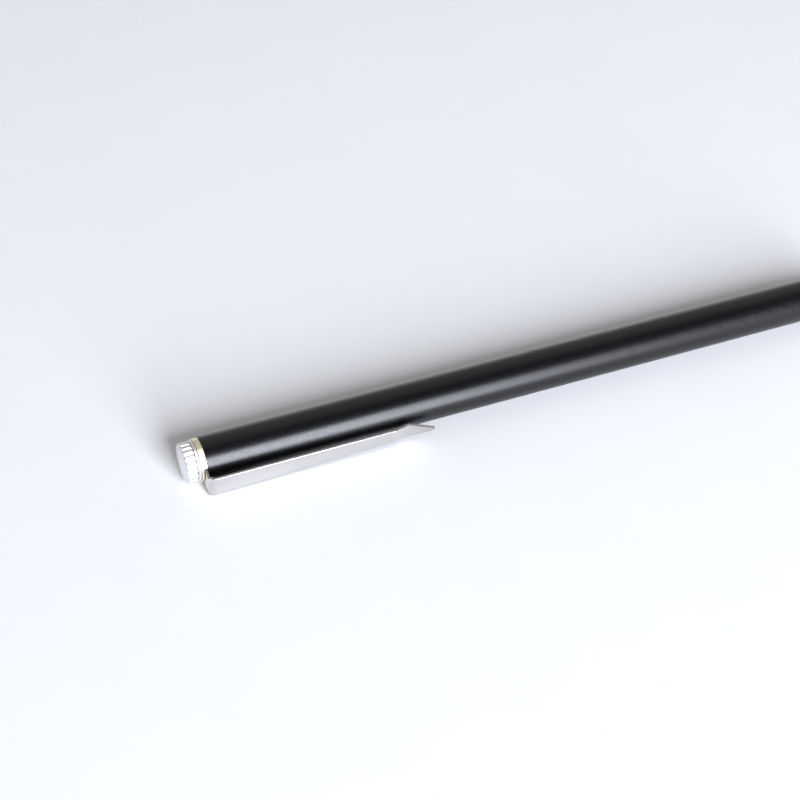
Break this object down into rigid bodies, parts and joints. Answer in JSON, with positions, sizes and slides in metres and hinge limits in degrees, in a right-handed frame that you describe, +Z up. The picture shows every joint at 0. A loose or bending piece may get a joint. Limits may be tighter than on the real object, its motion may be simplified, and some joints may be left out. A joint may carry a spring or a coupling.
{
  "type": "counterfeit detector pen",
  "caption": "Slim black metal pen with a spring clip and a fluted twist knob that runs a felt ink nib out of its nose to mark and test banknotes.",
  "frame": {"origin": "middle of the underside of the pen's box, on the surface that the pen lies on", "axes": "+X along the pen from the knob to the nib, -Y towards the clip, +Z up; the pen lies on its barrel with the clip rolled 9.8 degrees down so that its head edge meets the surface"},
  "size_m": [0.144, 0.0106, 0.008],
  "materials": {
    "black_lacquer": "satin black",
    "polished_brass": "polished",
    "chrome_clip": "polished",
    "chrome": "polished",
    "steel": "turned",
    "rubber": "matte",
    "brass_inner": "turned",
    "plastic_inner": "moulded",
    "cartridge_plastic": "translucent white",
    "ink_fibre": "soaked fibre",
    "felt": "bonded felt"
  },
  "bodies": {
    "pen_body": {"barrel": "black_lacquer", "collar": "polished_brass", "thrust_ring": "chrome", "guide_sleeve": "brass_inner", "front_bush": "brass_inner", "nose_cone": "chrome", "nose_o_ring": "rubber", "nib_seal": "rubber"},
    "clip": {"clip": "chrome_clip"},
    "twist_knob": {"knob": "chrome", "knob_end_cap": "chrome", "knob_stem": "steel", "stem_o_ring": "rubber", "cam_sleeve": "brass_inner", "retaining_clip": "steel"},
    "refill": {"follower": "plastic_inner", "follower_pin": "steel", "cartridge_plug": "plastic_inner", "cartridge_tube": "cartridge_plastic", "ink_reservoir": "ink_fibre", "nib_holder": "plastic_inner", "felt_nib": "felt", "return_spring": "steel"}
  },
  "joints": [
    {"name": "knob_twist", "type": "hinge", "parent": "pen_body", "child": "twist_knob", "pos_m": [-0.06803, 0.00133, 0.004], "axis": [1, 0, 0], "range_deg": [0, 180]},
    {"name": "nib_slide", "type": "slide", "parent": "pen_body", "child": "refill", "axis": [1, 0, 0], "range_m": [0, 0.005], "deforming": ["return_spring"]},
    {"name": "clip_flex", "type": "hinge", "parent": "pen_body", "child": "clip", "pos_m": [-0.06835, -0.00256, 0.00333], "axis": [0, 0.1701, -0.9854], "range_deg": [0, 3], "stiffness_Nm_per_rad": 2}
  ],
  "couplings": [
    {"joint": "knob_twist", "follows": "nib_slide", "rad_per_m": 628.32}
  ]
}
